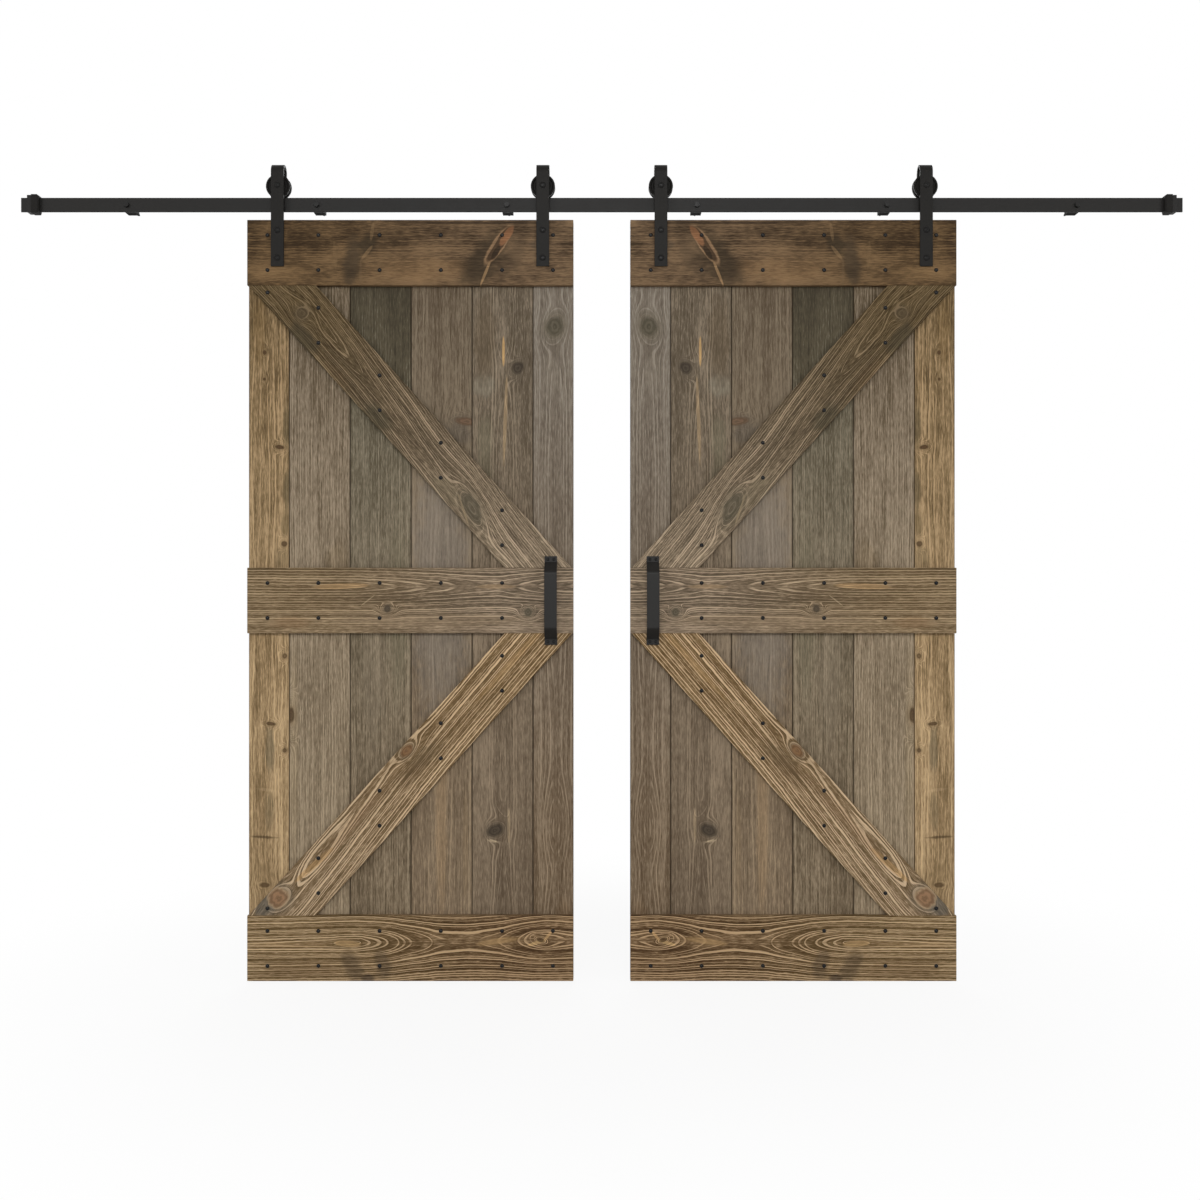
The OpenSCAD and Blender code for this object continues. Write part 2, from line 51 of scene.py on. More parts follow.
DOOR_SIDE, DOOR_TOP, DOOR_FACE = rail_high.x, rail_high.z, rail_low.y
DOOR_WIDE, DOOR_TALL = 914, 2134
PLANK_EDGES = (0, 113.8, 285.4, 457, 628.6, 800.2, 914)
PLANK_EASE = 0.0006


class Wire:
    """A socket of a node tree that can stand in a sum or a product."""

    def __init__(self, tree, socket=None):
        self.tree = tree
        self.socket = socket

    def node(self, kind, settings=(), inputs=(), out=0):
        """Adds a node: its settings first, then the values or links of its sockets."""
        made = self.tree.nodes.new(kind)
        for key, value in dict(settings).items():
            if key == "stops":
                ramp = made.color_ramp.elements
                ramp.remove(ramp[1])
                ramp[0].position, ramp[0].color = value[0]
                for place, colour in value[1:]:
                    ramp.new(place).color = colour
            elif key == "easing":
                made.color_ramp.interpolation = value
            else:
                setattr(made, key, value)
        for key, value in dict(inputs).items():
            if isinstance(value, Wire):
                self.tree.links.new(value.socket, made.inputs[key])
            else:
                made.inputs[key].default_value = value
        return Wire(self.tree, made.outputs[out] if len(made.outputs) else None)

    def other(self, out):
        return Wire(self.tree, self.socket.node.outputs[out])

    def math(self, operation, *others):
        return self.node("ShaderNodeMath", {"operation": operation}, enumerate((self, *others)))

    def __add__(self, other):
        return self.math("ADD", other)

    def __sub__(self, other):
        return self.math("SUBTRACT", other)

    def __rsub__(self, other):
        return self.node("ShaderNodeMath", {"operation": "SUBTRACT"}, {0: other, 1: self})

    def __mul__(self, other):
        return self.math("MULTIPLY", other)

    def __truediv__(self, other):
        return self.math("DIVIDE", other)

    __radd__ = __add__
    __rmul__ = __mul__

    def fade(self, start, end):
        """A smooth step from 0 at start to 1 at end."""
        return self.node("ShaderNodeMapRange", {"interpolation_type": "SMOOTHSTEP"},
                         {"Value": self, "From Min": start, "From Max": end})

    def mix(self, first, second):
        """The first colour where this is 0 and the second where it is 1."""
        return self.node("ShaderNodeMix", {"data_type": "RGBA"}, {0: self, 6: first, 7: second}, 2)

    def ramp(self, stops, easing="LINEAR"):
        return self.node("ShaderNodeValToRGB", {"stops": stops, "easing": easing}, {0: self})

    def curve(self, stops, easing="CARDINAL"):
        """A grey curve through the given places and values."""
        return self.ramp([(place, (v, v, v, 1)) for place, v in stops], easing)

    def bell(self):
        """1 where this is 0, falling away smoothly on both sides."""
        return (self * self * -1.0).math("EXPONENT")

    def feed(self, shader, socket):
        self.tree.links.new(self.socket, shader.inputs[socket])


def new_material(name):
    """A new material, its node tree and its shader."""
    material = bpy.data.materials.new(name)
    material.use_nodes = True
    return material, material.node_tree, material.node_tree.nodes["Principled BSDF"]


def stain(red, green, blue):
    """A colour as the eye reads it on the board, 0 to 255, made linear."""
    levels = [level / 255 for level in (red, green, blue)]
    return tuple(((v + 0.055) / 1.055) ** 2.4 if v > 0.04 else v / 12.92 for v in levels) + (1.0,)


def shaded(colour, gain):
    return tuple(level * gain for level in colour[:3]) + (1.0,)


# How a growth ring shows after brushing: plain earlywood, a pale ridge of latewood, a dark furrow beside it
RING_PROFILE = ((0, 0.36), (0.3, 0.34), (0.46, 0.34), (0.56, 0.9), (0.72, 1.0), (0.79, 0.14), (0.88, 0.24),
                (1, 0.36))
RING_REST = 0.42
# The most that the tree's heart lies behind the face, and the span it may move across, in metres
HEART_DEEPEST, HEART_SPAN = 0.2, 0.4
# How much each unevenness shows in the tone of the stain
BROAD, BANDS, STREAKS, FIBRE, FLECKS = 0.36, 0.34, 0.58, 0.78, 0.1
# The edge of a mark: how ragged it is, and where it begins and is whole, as shares of the mark's size
SOFT_EDGE, CRISP_EDGE = (0.9, 1.25, 0.5), (0.4, 1.1, 0.82)
NARROW_MARK = 9
# The colour of the V joints: gathered stain with painted shade of the groove
JOINT_STAIN_AND_SHADE = (48, 41, 32)


def stained_pine(name, middle, turn, length, start, end, drift, rings, knots=(), patches=(), scars=(),
                 streak=1.0, seed=0, mottle=0.16, smoke=0.2, joint=None):
    """Brushed and stained pine for one board, in mm from the door's outer side and top.

    Its dark, middle and light tones blend from those at the start to those at the end, and drift shifts them.
    Each knot, patch or scar has its place, half length, half width, tilt to the grain, colours and strength.
    """
    material, tree, shader = new_material(name)
    cos, sin = math.cos(math.radians(turn)), math.sin(math.radians(turn))

    # Places on the board, the same on the mirrored door
    place = Wire(tree).node("ShaderNodeTexCoord", out="Object")
    x = place.node("ShaderNodeSeparateXYZ", inputs={0: place})
    side = (DOOR_SIDE - middle[0] / 1000) - x.math("ABSOLUTE")
    down = (DOOR_TOP - middle[1] / 1000) - x.other(2)
    along = side * cos + down * sin
    across = down * cos - side * sin
    deep = x.other(1) - DOOR_FACE
    board = place.node("ShaderNodeCombineXYZ", inputs={0: along, 1: across, 2: deep})

    def on_board(place_side, place_down):
        s, d = (place_side - middle[0]) / 1000, (place_down - middle[1]) / 1000
        return s * cos + d * sin, d * cos - s * sin

    def noise(stretch, detail=2.0, rough=0.55, path=board):
        where = board.node("ShaderNodeMapping", inputs={
            "Vector": path, "Location": (seed * 3.7, seed * 1.3, seed * 2.1), "Scale": stretch})
        return where.node("ShaderNodeTexNoise", inputs={
            "Vector": where, "Scale": 1.0, "Detail": detail, "Roughness": rough}) - 0.5

    def oval(spot, size, tilt):
        """Distance from a spot, 1 on the edge of an ellipse of that half length and half width."""
        where = board.node("ShaderNodeMapping", {"vector_type": "TEXTURE"}, {
            "Vector": board, "Location": (*spot, 0.0), "Rotation": (0, 0, math.radians(tilt)),
            "Scale": (size[0] / 1000, size[1] / 1000, 1e6)})
        return where.node("ShaderNodeVectorMath", {"operation": "LENGTH"}, {0: where}, 1)

    # Uneven growth and brushing, from a hand's width down to a hair, in waves per metre along and across
    wander = noise((2.4, 5, 5))
    wobble = noise((26, 30, 30))
    broad = noise((1.1, 16, 16))
    fibre = noise((50, 480, 480), 2.0, 0.6)
    ragged = noise((30, 62, 62), 3.0, 0.6)
    cloud = noise((8, 15, 15), 3.0, 0.6)

    # The grain wanders a little and runs round the knots
    wobble_wide, knot_bend, knot_quiet, knot_ragged = 0.003, 0.92, 0.3, 0.7
    sway_long, sway_wide, ring_spread = 2.6, 1.9, 2.2
    bent = across + wander * rings.get("wander", 0.02) + wobble * wobble_wide
    knot_edges = []
    round_knots = []
    quiet = 1.0
    for place_side, place_down, half_l, half_w, tilt, kind, strength in knots:
        spot = on_board(place_side, place_down)
        near = oval(spot, (sway_long * half_l, sway_wide * half_w), tilt)
        pull = near.bell()
        bent = bent - (bent - spot[1]) * pull * (knot_bend * strength)
        quiet = quiet * (1.0 - pull * knot_quiet)
        round_knots.append((pull * strength, near * (ring_spread * half_w / 1000)))
        knot_edges.append((oval(spot, (half_l, half_w), tilt) + ragged * knot_ragged, kind, strength))

    grain = board.node("ShaderNodeCombineXYZ", inputs={0: along, 1: bent, 2: deep})
    bands = noise((1.6, 70, 70), 2.0, 0.6, grain)
    streaks = noise((8, 280, 280), 2.0, 0.6, grain)

    # Growth rings round a heart that lies at a changing depth behind the face
    part_way = along / (length / 1000) + 0.5
    step = 0.01
    depths = [(p, v / 1000 / HEART_DEEPEST) for p, v in rings["depth"]]
    heart_depth = part_way.curve(depths) * HEART_DEEPEST + deep
    further_on = (part_way + step).curve(depths) * HEART_DEEPEST + deep
    sinking = (further_on - heart_depth) * (heart_depth / (step * length / 1000))
    heart_line = part_way.curve([(p, 0.5 + v / 1000 / HEART_SPAN) for p, v in rings["heart"]])
    off_heart = bent - (heart_line - 0.5) * HEART_SPAN
    radius = (off_heart * off_heart + heart_depth * heart_depth).math("SQRT")
    steep = (off_heart * off_heart + sinking * sinking).math("SQRT") / radius
    for pull, distance in round_knots:
        radius = radius + (distance - radius) * pull
        steep = steep.math("MAXIMUM", pull)

    # Rings of uneven width fade far from the heart, where the cut lies flat in them, and here and there
    uneven_run, uneven_width, faintest, flat_cut, clear_cut = 0.7, 1.5, 0.15, 0.08, 0.38
    count = radius / (rings["gap"] / 1000)
    uneven = count.node("ShaderNodeTexNoise", {"noise_dimensions": "1D"},
                        {"W": count * uneven_run + seed, "Scale": 1.0})
    phase = (count + uneven * uneven_width).math("FRACT")
    reach = rings.get("reach", 400) / 1000
    held = off_heart.math("ABSOLUTE").fade(reach, reach / 2) * (1 - faintest) + faintest
    facing = steep.fade(flat_cut, clear_cut)
    here_and_there = (wander * 1.1 + broad * 1.6 + 0.85).math("MINIMUM", 1.0).math("MAXIMUM", faintest)
    ridges = phase.curve(RING_PROFILE, "LINEAR") - RING_REST
    ring = ridges * here_and_there * held * facing * (quiet * rings["strength"])

    # The stain takes more in soft wood and less on the ridges
    flecks = fibre.fade(0.1, 0.26)
    shift = part_way.curve([(p, 0.5 + v) for p, v in drift])
    brushed = bands * (BANDS * streak) + streaks * (STREAKS * streak) + fibre * FIBRE + flecks * FLECKS
    tone = shift + broad * BROAD + brushed + ragged * mottle + cloud * smoke + ring

    def stained(tones):
        dark, mid, light = (stain(*t) for t in tones)
        return tone.ramp([(0.02, shaded(dark, 0.5)), (0.33, dark), (0.5, mid), (0.67, light),
                          (0.98, shaded(light, 1.3))])

    colour = part_way.fade(0.1, 0.9).mix(stained(start), stained(end))

    # Stains, resin marks and scars at their own places, and on the top rail a thin line of painted shade
    # below its top edge
    marks = [(patch, SOFT_EDGE if patch[3] > NARROW_MARK else CRISP_EDGE) for patch in patches]
    marks += [(scar, CRISP_EDGE) for scar in scars]
    for (place_side, place_down, half_l, half_w, tilt, tint, strength), (rough_edge, begins, whole) in marks:
        edge = oval(on_board(place_side, place_down), (half_l, half_w), tilt) + ragged * rough_edge
        tint = stain(*tint)
        painted = tone.ramp([(0.1, shaded(tint, 0.55)), (0.5, tint), (0.9, shaded(tint, 1.6))])
        colour = (edge.fade(begins, whole) * strength).mix(colour, painted)

    # Knots: a ringed core in a stained collar, with a thin line round it
    collar_at, collar_wide, collar_dark, line_wide, line_dark = 0.9, 0.75, 0.6, 0.1, 0.5
    core_rings, core_ragged, core_dark = 11.0, 5.0, 0.6
    for edge, (core, collar, rim), strength in knot_edges:
        in_collar = ((edge - collar_at) / collar_wide).bell()
        colour = (in_collar * (collar_dark * strength)).mix(colour, stain(*collar))
        swirl = (edge * core_rings + ragged * core_ragged).math("SINE") * 0.5 + 0.5
        heart = swirl.mix(stain(*core), shaded(stain(*core), core_dark))
        colour = (edge.fade(1.15, 0.75) * strength).mix(colour, heart)
        on_line = ((edge - 1.0) / line_wide).bell()
        colour = (on_line * (line_dark * strength)).mix(colour, stain(*rim))

    # Stain gathers in the V joint along both edges of a plank, and painted shade darkens the joint there as
    # well
    if joint:
        bevel_top, bevel_foot, joint_dark = 0.0028, 0.0008, 0.56
        in_joint = across.math("ABSOLUTE").fade(joint / 1000 - bevel_top, joint / 1000 - bevel_foot)
        colour = (in_joint * joint_dark).mix(colour, stain(*JOINT_STAIN_AND_SHADE))

    # Brushed wood is dull, a little less so on the ridges, and its fibres stand up
    dull, ridge_polish, fibre_dull, pit_depth = 0.64, 0.16, 0.2, 0.3
    colour.feed(shader, "Base Color")
    (dull - ring * ridge_polish + fibre * fibre_dull).feed(shader, "Roughness")
    relief = fibre + ragged * pit_depth
    bump = relief.node("ShaderNodeBump", inputs={"Strength": 0.6, "Distance": 0.0009, "Height": relief})
    bump.feed(shader, "Normal")
    shader.inputs["Specular IOR Level"].default_value = 0.06
    return material


def long_edges():
    """A tree that marks the sharp edges of a piece which are longer than a nail hole's facets."""
    nail_hole_facet, sharp_bend = 0.0011, math.radians(25)
    tree = bpy.data.node_groups.new("long_edges", "GeometryNodeTree")
    tree.interface.new_socket("Geometry", in_out="OUTPUT", socket_type="NodeSocketGeometry")
    tree.interface.new_socket("Geometry", in_out="INPUT", socket_type="NodeSocketGeometry")
    given = Wire(tree).node("NodeGroupInput", out="Geometry")
    ends = given.node("GeometryNodeInputMeshEdgeVertices", out="Position 1")
    long = given.node("ShaderNodeVectorMath", {"operation": "DISTANCE"},
                      {0: ends, 1: ends.other("Position 2")}, 1)
    bend = given.node("GeometryNodeInputMeshEdgeAngle")
    sharp = long.math("GREATER_THAN", nail_hole_facet) * bend.math("GREATER_THAN", sharp_bend)
    marked = given.node("GeometryNodeStoreNamedAttribute", {"data_type": "FLOAT", "domain": "EDGE"},
                        {"Geometry": given, "Name": "bevel_weight_edge", "Value": sharp})
    given.node("NodeGroupOutput", inputs={0: marked})
    return tree


edge_tree = long_edges()


def ease_edges(piece, width):
    """Joins the triangles of a piece of the frame and rounds its sawn or cut edges."""
    weld = piece.modifiers.new("weld", "WELD")
    weld.merge_threshold = 1e-5
    piece.modifiers.new("long edges", "NODES").node_group = edge_tree
    soften = piece.modifiers.new("eased edges", "BEVEL")
    soften.width = width
    soften.segments = 2
    soften.limit_method = "WEIGHT"
    soften.use_clamp_overlap = False


def finish_node(node, material, ease=0.0):
    """Gives a piece of the frame its finish, and eases its edges where asked."""
    piece = parts[node]
    piece.data.materials.clear()
    piece.data.materials.append(material)
    if ease:
        ease_edges(piece, ease)


DARK_KNOT = ((72, 63, 53), (88, 78, 65), (54, 46, 38))
RED_KNOT = ((112, 86, 66), (86, 76, 64), (70, 58, 46))
PALE_KNOT = ((150, 116, 86), (98, 90, 78), (176, 152, 118))
SMALL_KNOT = ((84, 63, 43), (116, 95, 67), (66, 50, 34))
GREY_KNOT = ((92, 85, 70), (102, 94, 77), (72, 66, 54))
plank_looks = (
    dict(start=((94, 76, 52), (127, 106, 75), (162, 136, 102)),
         end=((128, 106, 75), (162, 136, 101), (190, 163, 124)),
         drift=((0, -0.12), (0.2, 0), (1, 0.02)), streak=1.3, mottle=0.14, smoke=0.4, seed=1,
         rings=dict(gap=9, heart=((0, 24),), strength=0.34,
                    depth=((0, 30), (0.3, 16), (0.55, 22), (0.8, 8), (1, 20))),
         knots=((45, 369, 6, 5, 0, SMALL_KNOT, 0.9), (44, 444, 4, 4, 20, SMALL_KNOT, 0.9),
                (88, 635, 6, 12, 8, SMALL_KNOT, 0.9), (100, 907, 7, 8, 0, SMALL_KNOT, 0.8),
                (62, 1414, 5, 13, 6, SMALL_KNOT, 0.8), (101, 1489, 6, 6, 0, SMALL_KNOT, 0.7),
                (101, 1223, 7, 6, 0, SMALL_KNOT, 0.7), (45, 1868, 6, 14, 0, SMALL_KNOT, 0.7)),
         patches=((108, 576, 62, 13, 0, (100, 86, 62), 0.75), (108, 758, 58, 13, 0, (104, 90, 66), 0.75),
                  (104, 856, 40, 16, 0, (104, 88, 62), 0.7), (94, 950, 40, 24, 0, (112, 96, 70), 0.6),
                  (60, 1490, 72, 14, 0, (118, 104, 80), 0.75), (58, 1660, 60, 14, 0, (128, 110, 82), 0.7),
                  (42, 1733, 4, 40, 3, (84, 67, 48), 0.75), (50, 1600, 5, 30, 8, (176, 150, 114), 0.5),
                  (30, 300, 120, 20, 0, (112, 90, 58), 0.5), (40, 1840, 40, 30, 0, (134, 112, 80), 0.5))),
    dict(start=((92, 79, 61), (122, 108, 90), (147, 132, 112)),
         end=((114, 99, 79), (138, 122, 99), (162, 145, 120)),
         drift=((0, -0.2), (0.15, -0.12), (0.28, 0), (1, 0)), seed=2,
         rings=dict(gap=7.5, heart=((0, -120),), strength=0.3, wander=0.012,
                    depth=((0, 30), (0.5, 24), (1, 30))),
         knots=((119, 1391, 20, 9, 0, SMALL_KNOT, 0.8),),
         patches=((250, 960, 60, 34, 0, (132, 114, 88), 0.4), (128, 1500, 300, 14, 0, (150, 132, 104), 0.4))),
    dict(start=((86, 78, 62), (109, 102, 85), (133, 123, 105)),
         end=((89, 77, 60), (112, 97, 77), (145, 129, 106)),
         drift=((0, -0.4), (0.12, -0.34), (0.3, -0.05), (0.6, 0.03), (1, -0.02)), streak=0.9, seed=3,
         rings=dict(gap=7, heart=((0, 150),), strength=0.26, wander=0.012,
                    depth=((0, 40), (0.5, 30), (1, 24))),
         patches=((352, 1280, 190, 34, 0, (128, 115, 96), 0.45),
                  (420, 1100, 260, 30, 0, (100, 93, 74), 0.5))),
    dict(start=((82, 69, 54), (100, 87, 71), (119, 106, 88)),
         end=((102, 87, 68), (123, 106, 86), (148, 129, 104)),
         drift=((0, -0.06), (0.4, 0.14), (0.6, 0.05), (1, 0)), streak=0.95, seed=4,
         rings=dict(gap=7.5, heart=((0, 0),), strength=0.24, wander=0.012,
                    depth=((0, 40), (0.4, 24), (0.6, 20), (1, 30))),
         knots=((612, 563, 11, 30, 6, RED_KNOT, 0.75),),
         patches=((540, 1030, 380, 100, 0, (114, 105, 94), 0.7), (590, 596, 32, 44, 0, (88, 79, 68), 0.7),
                  (541, 1690, 300, 18, 0, (142, 119, 91), 0.6), (610, 1760, 160, 8, 0, (140, 120, 94), 0.5))),
    dict(start=((81, 70, 56), (100, 89, 74), (130, 116, 98)),
         end=((96, 81, 65), (113, 98, 80), (138, 121, 100)),
         drift=((0, 0), (0.5, 0.06), (1, 0)), streak=0.8, seed=5,
         rings=dict(gap=6.5, heart=((0, -2),), reach=48, strength=0.62, wander=0.006,
                    depth=((0, 16), (0.14, 6), (0.2, 14), (0.34, 5), (0.5, 12), (0.75, 3), (0.83, 13),
                           (0.9, 8), (1, 2))),
         knots=((757, 413, 18, 15, 40, DARK_KNOT, 0.85), (693, 1714, 15, 22, -20, DARK_KNOT, 0.85)),
         patches=((717, 366, 44, 4, 0, (168, 136, 92), 0.9), (722, 560, 130, 5, 2, (150, 128, 98), 0.7),
                  (664, 462, 34, 34, 0, (124, 115, 99), 0.75), (662, 330, 130, 34, 0, (92, 79, 62), 0.7),
                  (665, 610, 70, 24, 0, (116, 108, 88), 0.5), (665, 700, 60, 24, 0, (98, 90, 72), 0.6),
                  (686, 1744, 4, 16, 12, (168, 150, 122), 0.8), (732, 1700, 50, 4, 0, (156, 136, 108), 0.7))),
    dict(start=((100, 90, 78), (116, 106, 94), (136, 127, 114)),
         end=((94, 77, 59), (112, 95, 75), (140, 122, 100)),
         drift=((0, 0), (1, 0)), streak=0.9, seed=6,
         rings=dict(gap=6.5, heart=((0, -8),), reach=60, strength=0.46, wander=0.010,
                    depth=((0, 10), (0.12, 20), (0.3, 13), (0.55, 16), (0.72, 22), (0.8, 5), (0.86, 18),
                           (0.95, 3), (1, 0))),
         knots=((861, 296, 26, 22, 20, GREY_KNOT, 0.85),),
         patches=((866, 290, 12, 9, 0, (76, 69, 60), 0.7), (850, 420, 60, 26, 0, (128, 118, 104), 0.5),
                  (890, 1960, 60, 26, 0, (112, 91, 68), 0.5))),
)
for number, look in enumerate(plank_looks, 1):
    plank_start, plank_end = PLANK_EDGES[number - 1:number + 1]
    plank_wood = stained_pine(f"plank_pine_{number}", ((plank_start + plank_end) / 2, DOOR_TALL / 2), 90,
                              DOOR_TALL, joint=(plank_end - plank_start) / 2, **look)
    for side in SIDES:
        finish_node(f"{side}_plank_{number}", plank_wood, PLANK_EASE)


# Cross rails. Three boards of the same pine lie across the planks at the top, the middle and the bottom.
# The top one is the darkest, with a spike knot cut lengthways; the other two are flat-sawn, with pale arches.
# Nails fix them from the front.
RAIL_TALL = 184
RAIL_EASE = 0.0009
rail_looks = {
    "top_rail": dict(
        start=((58, 44, 29), (82, 64, 43), (110, 87, 60)),
        end=((62, 49, 35), (90, 72, 54), (116, 94, 70)),
        drift=((0, 0), (0.5, 0), (1, 0.02)), streak=0.16, smoke=1.0, mottle=0.1, seed=7,
        rings=dict(gap=8, heart=((0, -150),), depth=((0, 30), (0.5, 20), (1, 30)), reach=250, strength=0.3),
        patches=((485, 140, 150, 36, 0, (122, 96, 67), 0.45), (95, 150, 90, 22, 0, (116, 92, 63), 0.5),
                 (668, 112, 112, 46, 126, (62, 51, 38), 0.9), (740, 110, 70, 30, 120, (70, 57, 43), 0.6),
                 (294, 116, 74, 25, 97, (66, 54, 40), 0.9), (337, 72, 36, 24, 120, (63, 52, 38), 0.9),
                 (246, 100, 42, 5, 86, (104, 83, 58), 0.5), (350, 34, 26, 5, 98, (112, 90, 64), 0.6),
                 (336, 92, 26, 5, 128, (116, 93, 66), 0.65), (318, 150, 40, 4, 90, (98, 79, 57), 0.5),
                 # The first mark here, 9 mm below the top edge, is a thin line of painted shade from the
                 # rounded top edge
                 (670, 9, 240, 2.6, 0, (52, 41, 30), 0.8), (669, 146, 42, 4, 112, (140, 112, 80), 0.8),
                 (812, 70, 24, 16, 0, (84, 72, 58), 0.5)),
        scars=((704, 70, 68, 18, 124, (136, 108, 80), 0.9), (706, 68, 61, 14, 124, (66, 51, 37), 0.95),
               (728, 44, 34, 10.5, 124, (122, 86, 60), 0.9), (697, 92, 22, 8, 120, (48, 38, 28), 0.9),
               (686, 78, 40, 2.5, 122, (130, 104, 78), 0.7))),
    "middle_rail": dict(
        start=((98, 80, 56), (124, 105, 79), (158, 137, 107)),
        end=((94, 82, 67), (126, 109, 90), (161, 142, 119)),
        drift=((0, 0), (0.5, -0.04), (1, 0.04)), streak=0.95, seed=8,
        rings=dict(gap=7.4, heart=((0, -40),), reach=125, strength=1.15, wander=0.006,
                   depth=((0, 3), (0.15, 2), (0.3, 4), (0.38, 9), (0.5, 18), (0.62, 27), (0.74, 33),
                          (0.8, 31), (0.92, 20), (1, 14))),
        knots=((393, 1090, 9, 9, 0, DARK_KNOT, 0.8), (787, 1100, 9, 10, 0, GREY_KNOT, 0.8)),
        patches=((262, 1027, 84, 8, -2, (160, 130, 92), 0.7), (700, 1028, 56, 6, 0, (156, 130, 98), 0.5),
                 (339, 1066, 26, 1.8, -38, (166, 146, 116), 0.8),
                 (520, 1122, 300, 22, 0, (122, 104, 82), 0.5), (120, 1130, 60, 18, 0, (128, 102, 74), 0.5))),
    "bottom_rail": dict(
        start=((101, 81, 52), (137, 114, 83), (178, 154, 120)),
        end=((77, 57, 37), (110, 87, 62), (164, 137, 104)),
        drift=((0, 0.01), (0.5, -0.04), (1, 0.02)), streak=0.9, seed=9,
        rings=dict(gap=6.2, heart=((0, -10), (0.3, -16), (0.6, -18), (0.9, -24), (1, -24)), reach=150,
                   strength=1.3, wander=0.005,
                   depth=((0, 12), (0.15, 10), (0.25, 7), (0.31, 1), (0.36, 9), (0.46, 31), (0.56, 49),
                          (0.64, 55), (0.72, 54), (0.8, 46), (0.9, 30), (1, 34))),
        knots=((822, 2018, 9, 6, 20, SMALL_KNOT, 0.8),),
        scars=((281, 2029, 38, 9, 3, (170, 140, 98), 0.75),),
        patches=((120, 2032, 130, 10, 0, (142, 116, 82), 0.5),
                 (296, 2094, 54, 28, 60, (86, 72, 55), 0.65), (380, 2088, 44, 24, 80, (86, 72, 55), 0.65),
                 (338, 2126, 20, 12, 0, (70, 58, 46), 0.85), (712, 2020, 70, 22, 0, (122, 98, 70), 0.5),
                 (700, 2022, 60, 9, -8, (154, 125, 86), 0.6), (812, 2026, 26, 5, -16, (176, 146, 102), 0.85),
                 (842, 2008, 20, 4, -50, (172, 140, 98), 0.85), (150, 2100, 120, 30, 0, (112, 89, 63), 0.4))),
}
rail_downs = {"top_rail": RAIL_TALL / 2, "middle_rail": DOOR_TALL / 2,
              "bottom_rail": DOOR_TALL - RAIL_TALL / 2}
for rail, look in rail_looks.items():
    rail_wood = stained_pine(f"{rail}_pine", (DOOR_WIDE / 2, rail_downs[rail]), 0, DOOR_WIDE, **look)
    for side in SIDES:
        finish_node(f"{side}_{rail}", rail_wood, RAIL_EASE)


# Braces. Two slanting boards, sawn level at both ends, meet at the middle rail and keep each door square.
# They are pine like the rails, with strong pale grain lines and some large knots.
# Nails fix them to every plank that they cross.
BRACE_TURN = 47.74
BRACE_LONG = 1230
PANEL_TALL = (DOOR_TALL - 3 * RAIL_TALL) / 2
brace_looks = {
    "upper_brace": dict(
        start=((62, 50, 32), (84, 69, 45), (116, 98, 72)),
        end=((97, 84, 68), (135, 119, 98), (168, 149, 125)),
        drift=((0, 0), (0.5, -0.1), (1, 0.01)), streak=1.05, seed=10,
        rings=dict(gap=6.2, strength=0.8, wander=0.003,
                   heart=((0, -12), (0.2, -10), (0.5, 22), (0.75, 56), (1, 84)),
                   depth=((0, 3), (0.12, 2), (0.2, 7), (0.273, 16), (0.34, 25), (0.5, 29), (0.7, 30),
                          (1, 28))),
        knots=((154, 262, 17, 18, 0, ((84, 71, 52), (80, 68, 51), (128, 110, 84)), 0.7),
               (630, 808, 42, 19, 14, GREY_KNOT, 0.7)),
        patches=((158, 334, 56, 28, 0, (70, 61, 45), 0.85), (366, 552, 56, 26, 0, (78, 70, 54), 0.8),
                 (606, 812, 46, 3, 24, (156, 136, 106), 0.85), (560, 760, 60, 30, 0, (116, 105, 84), 0.4),
                 (250, 440, 60, 22, 0, (94, 76, 54), 0.4))),
    "lower_brace": dict(
        start=((104, 85, 60), (136, 114, 87), (182, 159, 129)),
        end=((101, 79, 51), (135, 111, 80), (183, 157, 123)),
        drift=((0, 0), (0.5, -0.03), (1, 0)), streak=0.9, seed=11,
        rings=dict(gap=8.6, heart=((0, -34), (0.16, -32), (0.5, -66), (1, -92)), strength=0.96, wander=0.004,
                   depth=((0, 30), (0.1, 14), (0.2, 5), (0.32, 18), (0.5, 22), (0.7, 16), (1, 20))),
        knots=((87, 1901, 29, 27, 0, PALE_KNOT, 0.9),
               (447, 1487, 21, 14, 0, ((132, 98, 68), (88, 76, 58), (74, 60, 44)), 0.8)),
        patches=((52, 1922, 40, 34, 0, (94, 88, 78), 0.8), (190, 1806, 74, 9, 6, (160, 128, 86), 0.7),
                 (500, 1500, 60, 24, 10, (108, 91, 67), 0.5), (470, 1545, 60, 22, 0, (104, 84, 60), 0.5),
                 (760, 1220, 180, 10, 0, (158, 126, 84), 0.45),
                 (300, 1690, 160, 16, 0, (134, 108, 81), 0.4))),
}
brace_lies = {"upper_brace": (BRACE_TURN, RAIL_TALL + PANEL_TALL / 2),
              "lower_brace": (-BRACE_TURN, DOOR_TALL - RAIL_TALL - PANEL_TALL / 2)}
for brace, (turn, down) in brace_lies.items():
    brace_wood = stained_pine(f"{brace}_pine", (DOOR_WIDE / 2, down), turn, BRACE_LONG, **brace_looks[brace])
    for side in SIDES:
        finish_node(f"{side}_{brace}", brace_wood, RAIL_EASE)


# Nails. Hand-forged nails with domed black heads hold the rails and braces to the planks.
# They are mild steel, hammered, blackened and waxed, and driven through from the front.
NAIL_HEAD_TALL, NAIL_SHANK_WIDE, NAIL_TIP = 0.0036, 0.0036, 0.0004
NAIL_DENTS = 0.00035
COAT = (0.0079, 0.0072, 0.0063, 1.0)


